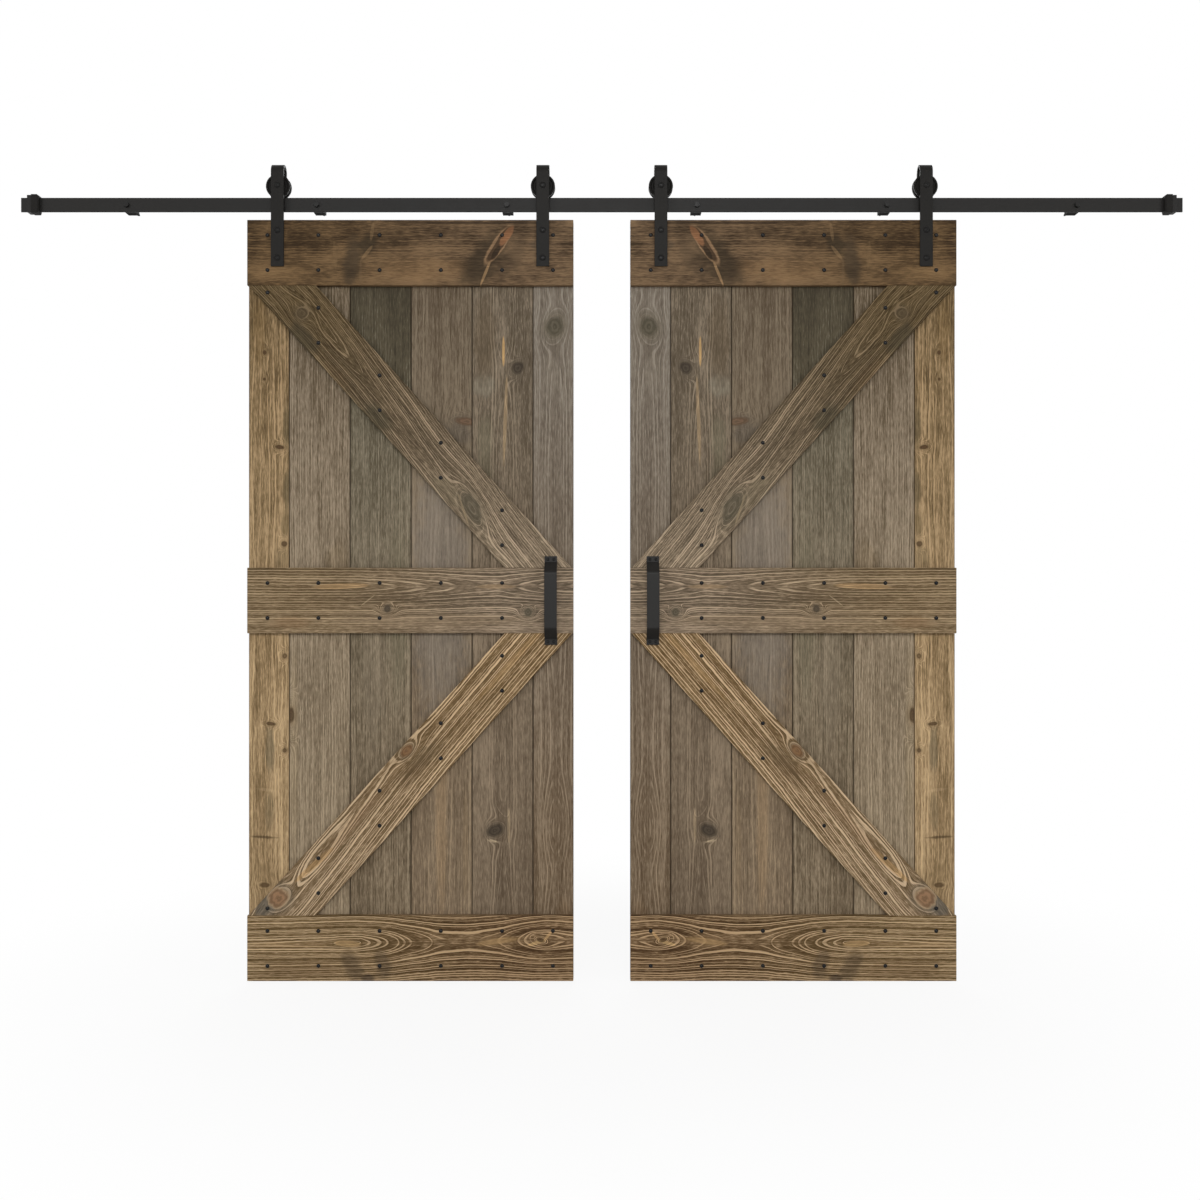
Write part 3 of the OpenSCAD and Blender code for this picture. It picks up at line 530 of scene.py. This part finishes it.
def black_coat(name, colour, rough, gloss, skin=0.22, grain=900.0):
    """Satin black coating on steel, with a fine skin and faint clouds of gloss."""
    cloud_dull, dust_dull, skin_depth = 0.12, 0.06, 0.0003
    material, tree, shader = new_material(name)
    place = Wire(tree).node("ShaderNodeTexCoord", out="Object")

    def speckle(scale, detail):
        return place.node("ShaderNodeTexNoise", inputs={"Vector": place, "Scale": scale, "Detail": detail})

    clouds, dust, peel = speckle(14.0, 4.0), speckle(190.0, 3.0), speckle(grain, 2.0)
    tone = (clouds * 0.5 + dust * 0.5).ramp([
        (0.3, shaded(colour, 0.8)), (0.55, colour), (0.75, shaded(colour, 1.45))])
    tone.feed(shader, "Base Color")
    evenly = rough - (cloud_dull + dust_dull) / 2
    (evenly + clouds * cloud_dull + dust * dust_dull).feed(shader, "Roughness")
    bump = peel.node("ShaderNodeBump", inputs={"Strength": skin, "Distance": skin_depth, "Height": peel})
    bump.feed(shader, "Normal")
    shader.inputs["Specular IOR Level"].default_value = gloss
    return material


def boxes_of(node):
    """The lowest and highest corners of each separate solid of a piece of the frame."""
    shape = bmesh.new()
    shape.from_mesh(parts[node].data)
    bmesh.ops.remove_doubles(shape, verts=shape.verts, dist=1e-5)
    left = set(shape.verts)
    boxes = []
    while left:
        found = [left.pop()]
        for corner in found:
            for edge in corner.link_edges:
                other = edge.other_vert(corner)
                if other in left:
                    left.discard(other)
                    found.append(other)
        spots = [corner.co for corner in found]
        boxes.append((Vector(min(s[i] for s in spots) for i in range(3)),
                      Vector(max(s[i] for s in spots) for i in range(3))))
    shape.free()
    return sorted(boxes, key=lambda b: tuple(round(v, 5) for v in b[0]))


def node_tree(name, sizes):
    """An empty Geometry Nodes tree with a named input for each size, and the wire of its points."""
    tree = bpy.data.node_groups.new(name, "GeometryNodeTree")
    tree.interface.new_socket("Geometry", in_out="OUTPUT", socket_type="NodeSocketGeometry")
    tree.interface.new_socket("Geometry", in_out="INPUT", socket_type="NodeSocketGeometry")
    for size in sizes:
        tree.interface.new_socket(size, in_out="INPUT", socket_type="NodeSocketFloat")
    tree.interface.new_socket("Seed", in_out="INPUT", socket_type="NodeSocketInt")
    tree.interface.new_socket("Material", in_out="INPUT", socket_type="NodeSocketMaterial")
    return Wire(tree).node("NodeGroupInput", out="Geometry")


def joined(first, *others):
    whole = first.node("GeometryNodeJoinGeometry", inputs={0: first})
    for other in others:
        first.tree.links.new(other.socket, whole.socket.node.inputs[0])
    return whole


def moved(shape, up):
    """Lifts a shape along its own axis."""
    lift = shape.node("ShaderNodeCombineXYZ", inputs={2: up})
    return shape.node("GeometryNodeTransform", inputs={"Geometry": shape, "Translation": lift})


def driven(points, fastener, dents):
    """Sets a fastener on each point, facing the room, each turned its own way, and ends the tree."""
    dents_per_metre = 330.0
    spin = points.node("FunctionNodeRandomValue", {"data_type": "FLOAT"},
                       {2: 0.0, 3: math.tau, 8: points.other("Seed")}, 1)
    turn = points.node("ShaderNodeCombineXYZ", inputs={0: math.pi / 2, 1: spin})
    placed = points.node("GeometryNodeInstanceOnPoints",
                         inputs={"Points": points, "Instance": fastener, "Rotation": turn})
    solid = points.node("GeometryNodeRealizeInstances", inputs={0: placed})
    where = points.node("GeometryNodeInputPosition")
    beaten = points.node("ShaderNodeTexNoise", inputs={
        "Vector": where, "Scale": dents_per_metre, "Detail": 1.0}) - 0.5
    push = points.node("ShaderNodeVectorMath", {"operation": "SCALE"},
                       {0: points.node("GeometryNodeInputNormal"), "Scale": beaten * dents})
    solid = points.node("GeometryNodeSetPosition", inputs={"Geometry": solid, "Offset": push})
    solid = points.node("GeometryNodeSetMaterial", inputs={0: solid, "Material": points.other("Material")})
    points.node("NodeGroupOutput", inputs={0: solid})


def make_from(points, name, places, sizes):
    """Runs a tree on the given places and returns the result as a plain mesh object."""
    seeds = bpy.data.meshes.new(f"{name}_places")
    seeds.from_pydata(places, [], [])
    maker = bpy.data.objects.new(f"{name}_places", seeds)
    bpy.context.scene.collection.objects.link(maker)
    step = maker.modifiers.new("make", "NODES")
    step.node_group = points.tree
    for socket in points.tree.interface.items_tree:
        if socket.in_out == "INPUT" and socket.name in sizes:
            step[socket.identifier] = sizes[socket.name]
    made = maker.evaluated_get(bpy.context.evaluated_depsgraph_get())
    piece = bpy.data.objects.new(name, bpy.data.meshes.new_from_object(made))
    bpy.context.scene.collection.objects.link(piece)
    bpy.data.objects.remove(maker)
    bpy.data.meshes.remove(seeds)
    return piece


nail_points = node_tree("forged_nails", ("Head width", "Head height", "Shank width", "Shank length", "Dents"))
ball = nail_points.node("GeometryNodeMeshUVSphere", inputs={"Segments": 18, "Rings": 10, "Radius": 1.0})
head_size = nail_points.node("ShaderNodeCombineXYZ", inputs={
    0: nail_points.other("Head width") * 0.5, 1: nail_points.other("Head width") * 0.5,
    2: nail_points.other("Head height")})
ball = nail_points.node("GeometryNodeTransform", inputs={"Geometry": ball, "Scale": head_size})
ball_spot = nail_points.node("GeometryNodeInputPosition")
ball_spot = nail_points.node("ShaderNodeSeparateXYZ", inputs={0: ball_spot})
flat_spot = nail_points.node("ShaderNodeCombineXYZ", inputs={
    0: ball_spot, 1: ball_spot.other(1), 2: ball_spot.other(2).math("MAXIMUM", 0.0)})
dome = nail_points.node("GeometryNodeSetPosition", inputs={"Geometry": ball, "Position": flat_spot})
dome = nail_points.node("GeometryNodeSetShadeSmooth", inputs={0: dome})
shank = nail_points.node("GeometryNodeMeshCone", inputs={
    "Vertices": 8, "Radius Top": nail_points.other("Shank width") * 0.5, "Radius Bottom": NAIL_TIP,
    "Depth": nail_points.other("Shank length")})
shank = moved(shank, nail_points.other("Shank length") * -1.0)
driven(nail_points, joined(dome, shank), nail_points.other("Dents"))

nail_black = black_coat("nail_black", shaded(COAT, 0.5), 0.28, 0.2, 0.1, 1500.0)
for side in SIDES:
    nail_boxes = boxes_of(f"{side}_nails")
    low, high = nail_boxes[0]
    seats = [((b.x + e.x) / 2, b.y + NAIL_HEAD_TALL, (b.z + e.z) / 2) for b, e in nail_boxes]
    nails = make_from(nail_points, f"{side}_forged_nails", seats, {
        "Head width": high.x - low.x, "Head height": NAIL_HEAD_TALL, "Shank width": NAIL_SHANK_WIDE,
        "Shank length": high.y - low.y - NAIL_HEAD_TALL, "Dents": NAIL_DENTS, "Seed": 5,
        "Material": nail_black})
    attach(nails, f"{side}_door")
    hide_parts(f"{side}_nails")


# Pull handles. Flat steel bar, bent hot into a low bow and coated with satin black powder.
# Two dome-headed screws at each end hold it to the middle rail.
BAR_EASE = 0.0007
handle_coat = black_coat("handle_black_coat", shaded(COAT, 1.3), 0.46, 0.2)
screw_black = black_coat("screw_black", shaded(COAT, 0.8), 0.38, 0.17, 0.1, 1500.0)
for side in SIDES:
    finish_node(f"{side}_pull_handle", handle_coat, BAR_EASE)
    finish_node(f"{side}_handle_screws", screw_black)


# Hanger straps. Flat steel bar bent over each roller and coated black: the long leg lies on the door's face,
# the short one ends behind the wheel.
# Two dome-headed bolts with flange nuts clamp each one to the door.
strap_coat = black_coat("strap_black_coat", shaded(COAT, 1.45), 0.5, 0.1)
for side in SIDES:
    finish_node(f"{side}_outer_strap", strap_coat, BAR_EASE)
    finish_node(f"{side}_inner_strap", strap_coat, BAR_EASE)
    finish_node(f"{side}_strap_bolts", screw_black)
    finish_node(f"{side}_strap_nuts", screw_black)


# Rollers. Each wheel is turned from steel, grooved for the track and coated black; its tread wears bright.
# A ball bearing is pressed into its hub and turns on two bushes and the axle bolt between the strap's sides.
TREAD_RADIUS, TREAD_HALF = 0.030, 0.0055
WEAR_START, WEAR_FULL, WEAR_RIM = 0.0012, 0.0003, 0.003
BRIGHT_STEEL = (0.3, 0.3, 0.31, 1)
LATHE_LINES = 2600.0


def from_axle(tree, node):
    """Wires of the distance from a roller's axle and along it, the same for the mirrored roller."""
    low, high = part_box(node)
    middle = (low + high) / 2
    place = Wire(tree).node("ShaderNodeTexCoord", out="Object")
    x = place.node("ShaderNodeSeparateXYZ", inputs={0: place})
    off, up = x.math("ABSOLUTE") - abs(middle.x), x.other(2) - middle.z
    return (off * off + up * up).math("SQRT"), (x.other(1) - middle.y).math("ABSOLUTE")


def lathe_marks(radius):
    return radius.node("ShaderNodeTexNoise", {"noise_dimensions": "1D"},
                       {"W": radius, "Scale": LATHE_LINES, "Detail": 3.0})


def turned_steel(name, node):
    """Bright turned steel with fine lathe rings round its axle."""
    material, tree, shader = new_material(name)
    marks = lathe_marks(from_axle(tree, node)[0])
    tone = marks.ramp([(0.3, (0.36, 0.365, 0.37, 1)), (0.7, (0.6, 0.605, 0.61, 1))])
    tone.feed(shader, "Base Color")
    (marks * 0.22 + 0.18).feed(shader, "Roughness")
    shader.inputs["Metallic"].default_value = 1.0
    return material


for where in ("outer", "inner"):
    wheel_coat = black_coat(f"{where}_wheel_coat", shaded(COAT, 1.1), 0.5, 0.06)
    wheel_tree = wheel_coat.node_tree
    wheel_shader = wheel_tree.nodes["Principled BSDF"]
    wheel_radius, off_middle = from_axle(wheel_tree, f"left_{where}_wheel")
    marks = lathe_marks(off_middle)
    worn = (wheel_radius.fade(TREAD_RADIUS + WEAR_START, TREAD_RADIUS + WEAR_FULL)
            * off_middle.fade(TREAD_HALF, TREAD_HALF - WEAR_RIM) * (marks * 1.2).math("MINIMUM", 1.0))
    coat_tone = Wire(wheel_tree, wheel_shader.inputs["Base Color"].links[0].from_socket)
    worn.mix(coat_tone, BRIGHT_STEEL).feed(wheel_shader, "Base Color")
    worn.feed(wheel_shader, "Metallic")
    bright = turned_steel(f"{where}_bearing_steel", f"left_{where}_wheel")
    for side in SIDES:
        finish_node(f"{side}_{where}_wheel", wheel_coat)
        finish_node(f"{side}_{where}_bearing", bright)
bush_steel = turned_steel("bush_steel", "left_outer_wheel")
for side in SIDES:
    finish_node(f"{side}_axle_bushes", bush_steel)
    finish_node(f"{side}_bearing_inner_rings", bush_steel)
    finish_node(f"{side}_axle_bolts", screw_black)
    finish_node(f"{side}_axle_nuts", screw_black)


# Track. One flat steel bar, coated like the straps, on six steel blocks that hold it off the wall.
# Its top edge carries the rollers.
TRACK_EASE, BLOCK_EASE = 0.0004, 0.0006
track_coat = black_coat("track_black_coat", shaded(COAT, 1.2), 0.5, 0.17)
block_coat = black_coat("spacer_black_coat", shaded(COAT, 0.8), 0.65, 0.03)
finish_node("track_rail", track_coat, TRACK_EASE)
finish_node("wall_spacers", block_coat, BLOCK_EASE)


# Lag screws. Six flanged hex screws, rolled from steel wire and blackened, hold the track and its blocks.
# Their coarse thread and point stand out behind, where the wall would be.
LAG_FLATS, LAG_HEAD_TALL = 0.013, 0.006
LAG_FLANGE_WIDE, LAG_FLANGE_TALL = 0.016, 0.0016
LAG_NECK_WIDE, LAG_ROOT_WIDE = 0.0066, 0.0064
LAG_BITE, LAG_POINT, LAG_TIP = 0.050, 0.012, 0.0002
LAG_THREAD_TALL, LAG_PITCH = 0.0008, 0.0034
lag_points = node_tree("lag_screws", ("Flats", "Head height", "Flange width", "Flange height", "Neck width",
                                      "Neck length", "Root width", "Thread height", "Pitch", "Bite", "Point"))


def lag_size(size):
    return lag_points.other(size)


def lag_rod(radius, depth, sides, middle):
    rod = lag_points.node("GeometryNodeMeshCylinder", inputs={
        "Vertices": sides, "Radius": radius, "Depth": depth})
    return moved(rod, middle)


def lag_thread(start_radius, end_radius, height, bottom):
    """A ridge that winds up from a bottom height, three-sided in section."""
    path = lag_points.node("GeometryNodeCurveSpiral", inputs={
        "Resolution": 24, "Rotations": height / lag_size("Pitch"), "Start Radius": start_radius,
        "End Radius": end_radius, "Height": height})
    section = lag_points.node("GeometryNodeCurvePrimitiveCircle", inputs={
        "Resolution": 3, "Radius": lag_size("Thread height")})
    ridge = lag_points.node("GeometryNodeCurveToMesh", inputs={
        "Curve": path, "Profile Curve": section, "Fill Caps": True})
    return moved(ridge, bottom)


root = lag_size("Root width") * 0.5
straight = lag_size("Bite") - lag_size("Point")
tip = lag_size("Neck length") * -1.0 - lag_size("Bite")
hex_head = lag_rod(lag_size("Flats") / math.sqrt(3), lag_size("Head height"), 6,
                   lag_size("Flange height") + lag_size("Head height") * 0.5)
round_parts = joined(
    lag_rod(lag_size("Flange width") * 0.5, lag_size("Flange height"), 32, lag_size("Flange height") * 0.5),
    lag_rod(lag_size("Neck width") * 0.5, lag_size("Neck length"), 24, lag_size("Neck length") * -0.5),
    lag_rod(root, straight, 24, lag_size("Neck length") * -1.0 - straight * 0.5),
    moved(lag_points.node("GeometryNodeMeshCone", inputs={
        "Vertices": 24, "Radius Top": root, "Radius Bottom": LAG_TIP, "Depth": lag_size("Point")}), tip),
    lag_thread(root * 0.15, root, lag_size("Point"), tip),
    lag_thread(root, root, straight, tip + lag_size("Point")))
driven(lag_points, joined(hex_head, round_parts), 0.0)

track_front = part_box("track_rail")[0].y
lag_seats = [((b.x + e.x) / 2, track_front, (b.z + e.z) / 2) for b, e in boxes_of("lag_screws")]
lag_screws = make_from(lag_points, "threaded_lag_screws", lag_seats, {
    "Flats": LAG_FLATS, "Head height": LAG_HEAD_TALL, "Flange width": LAG_FLANGE_WIDE,
    "Flange height": LAG_FLANGE_TALL, "Neck width": LAG_NECK_WIDE, "Neck length": -track_front,
    "Root width": LAG_ROOT_WIDE, "Thread height": LAG_THREAD_TALL, "Pitch": LAG_PITCH, "Bite": LAG_BITE,
    "Point": LAG_POINT, "Seed": 3, "Material": screw_black})
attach(lag_screws, "track")
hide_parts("lag_screws")


# End stops. A steel collar on each end of the track, coated like it and held by a set screw from behind.
# A moulded rubber ring on its inner face takes the blow of the roller.
COLLAR_EASE = 0.0006
rubber = black_coat("bumper_rubber", shaded(COAT, 1.3), 0.74, 0.16, 0.3, 500.0)
for side in SIDES:
    finish_node(f"{side}_stop_collar", track_coat, COLLAR_EASE)
    finish_node(f"{side}_stop_bumper", rubber)
finish_node("stop_set_screws", screw_black)


# Stage. A pale floor under the doors, a white surround, soft lamps and the camera straight in front.
# None of it is part of the doors; the floor shows white but keeps their shadow.
FLOOR_GAP, FLOOR_SIZE = 0.012, 60.0
FLOOR_WHITE = (0.92, 0.92, 0.92, 1)
SHADOW_START, SHADOW_END, SHADOW_SHARE = 0.6, 2.2, 0.1
SURROUND = 0.24


def seen_directly(tree):
    """1 for a ray from the camera or by way of gloss or glass, and 0 for the light on the object."""
    ray = Wire(tree).node("ShaderNodeLightPath", out="Is Camera Ray")
    return (ray + ray.other("Is Glossy Ray") + ray.other("Is Transmission Ray")).math("MINIMUM", 1.0)


floor_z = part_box("left_bottom_rail")[0].z - FLOOR_GAP
half = FLOOR_SIZE / 2
floor_corners = [(x * half, y * half, floor_z) for x, y in ((-1, -1), (1, -1), (1, 1), (-1, 1))]
floor_mesh = bpy.data.meshes.new("floor")
floor_mesh.from_pydata(floor_corners, [], [(0, 1, 2, 3)])
floor = bpy.data.objects.new("floor", floor_mesh)
bpy.context.scene.collection.objects.link(floor)
floor_paint, floor_tree, paint = new_material("floor_white")
paint.inputs["Base Color"].default_value = FLOOR_WHITE
paint.inputs["Roughness"].default_value = 0.9
paint.inputs["Specular IOR Level"].default_value = 0.1
seen = seen_directly(floor_tree)
spot = seen.node("ShaderNodeTexCoord", out="Object")
spot = seen.node("ShaderNodeVectorMath", {"operation": "MULTIPLY"}, {0: spot, 1: (1, 1, 0)})
away = seen.node("ShaderNodeVectorMath", {"operation": "LENGTH"}, {0: spot}, 1).fade(SHADOW_START, SHADOW_END)
glow = seen.node("ShaderNodeEmission", inputs={"Color": (1, 1, 1, 1), "Strength": 1.0})
floor_look = seen.node("ShaderNodeMixShader", inputs={
    0: seen * (away * SHADOW_SHARE + (1 - SHADOW_SHARE)), 1: Wire(floor_tree, paint.outputs[0]), 2: glow})
floor_look.feed(floor_tree.nodes["Material Output"], "Surface")
floor_mesh.materials.append(floor_paint)

world = bpy.data.worlds.new("studio")
bpy.context.scene.world = world
world.use_nodes = True
surround = world.node_tree.nodes["Background"]
surround.inputs["Color"].default_value = (1, 1, 1, 1)
(seen_directly(world.node_tree) * (1 - SURROUND) + SURROUND).feed(surround, "Strength")


def soft_lamp(name, place, aim, size, power):
    lamp = bpy.data.lights.new(name, "AREA")
    lamp.shape = "RECTANGLE"
    lamp.size, lamp.size_y = size
    lamp.energy = power
    lamp_object = bpy.data.objects.new(name, lamp)
    lamp_object.location = place
    lamp_object.rotation_euler = (Vector(aim) - Vector(place)).to_track_quat("-Z", "Y").to_euler()
    bpy.context.scene.collection.objects.link(lamp_object)


DOOR_MIDDLE = (0, DOOR_FACE, -1.1)
soft_lamp("key", (0.0, -6.0, 0.9), DOOR_MIDDLE, (3.2, 2.0), 165)
soft_lamp("left fill", (-3.4, -3.2, 0.2), DOOR_MIDDLE, (1.6, 2.4), 33)
soft_lamp("right fill", (3.4, -3.2, 0.2), DOOR_MIDDLE, (1.6, 2.4), 33)
soft_lamp("back fill", (0.0, 4.0, 0.6), DOOR_MIDDLE, (3.0, 2.0), 70)

# The camera stands level with the middle of the doors, and the shifts frame them as in a square picture
CAMERA_AWAY = 4.059
PICTURE = 1200
camera_data = bpy.data.cameras.new("camera")
camera_data.sensor_width = 36.0
camera_data.lens = 43.456
camera_data.shift_x = -1.85 / PICTURE
camera_data.shift_y = 0.5 / PICTURE
camera = bpy.data.objects.new("camera", camera_data)
camera.location = (0.0, DOOR_FACE - CAMERA_AWAY, DOOR_TOP - DOOR_TALL / 2000)
camera.rotation_euler = (math.pi / 2, 0, 0)
bpy.context.scene.collection.objects.link(camera)
bpy.context.scene.camera = camera
bpy.context.scene.view_settings.view_transform = "Standard"
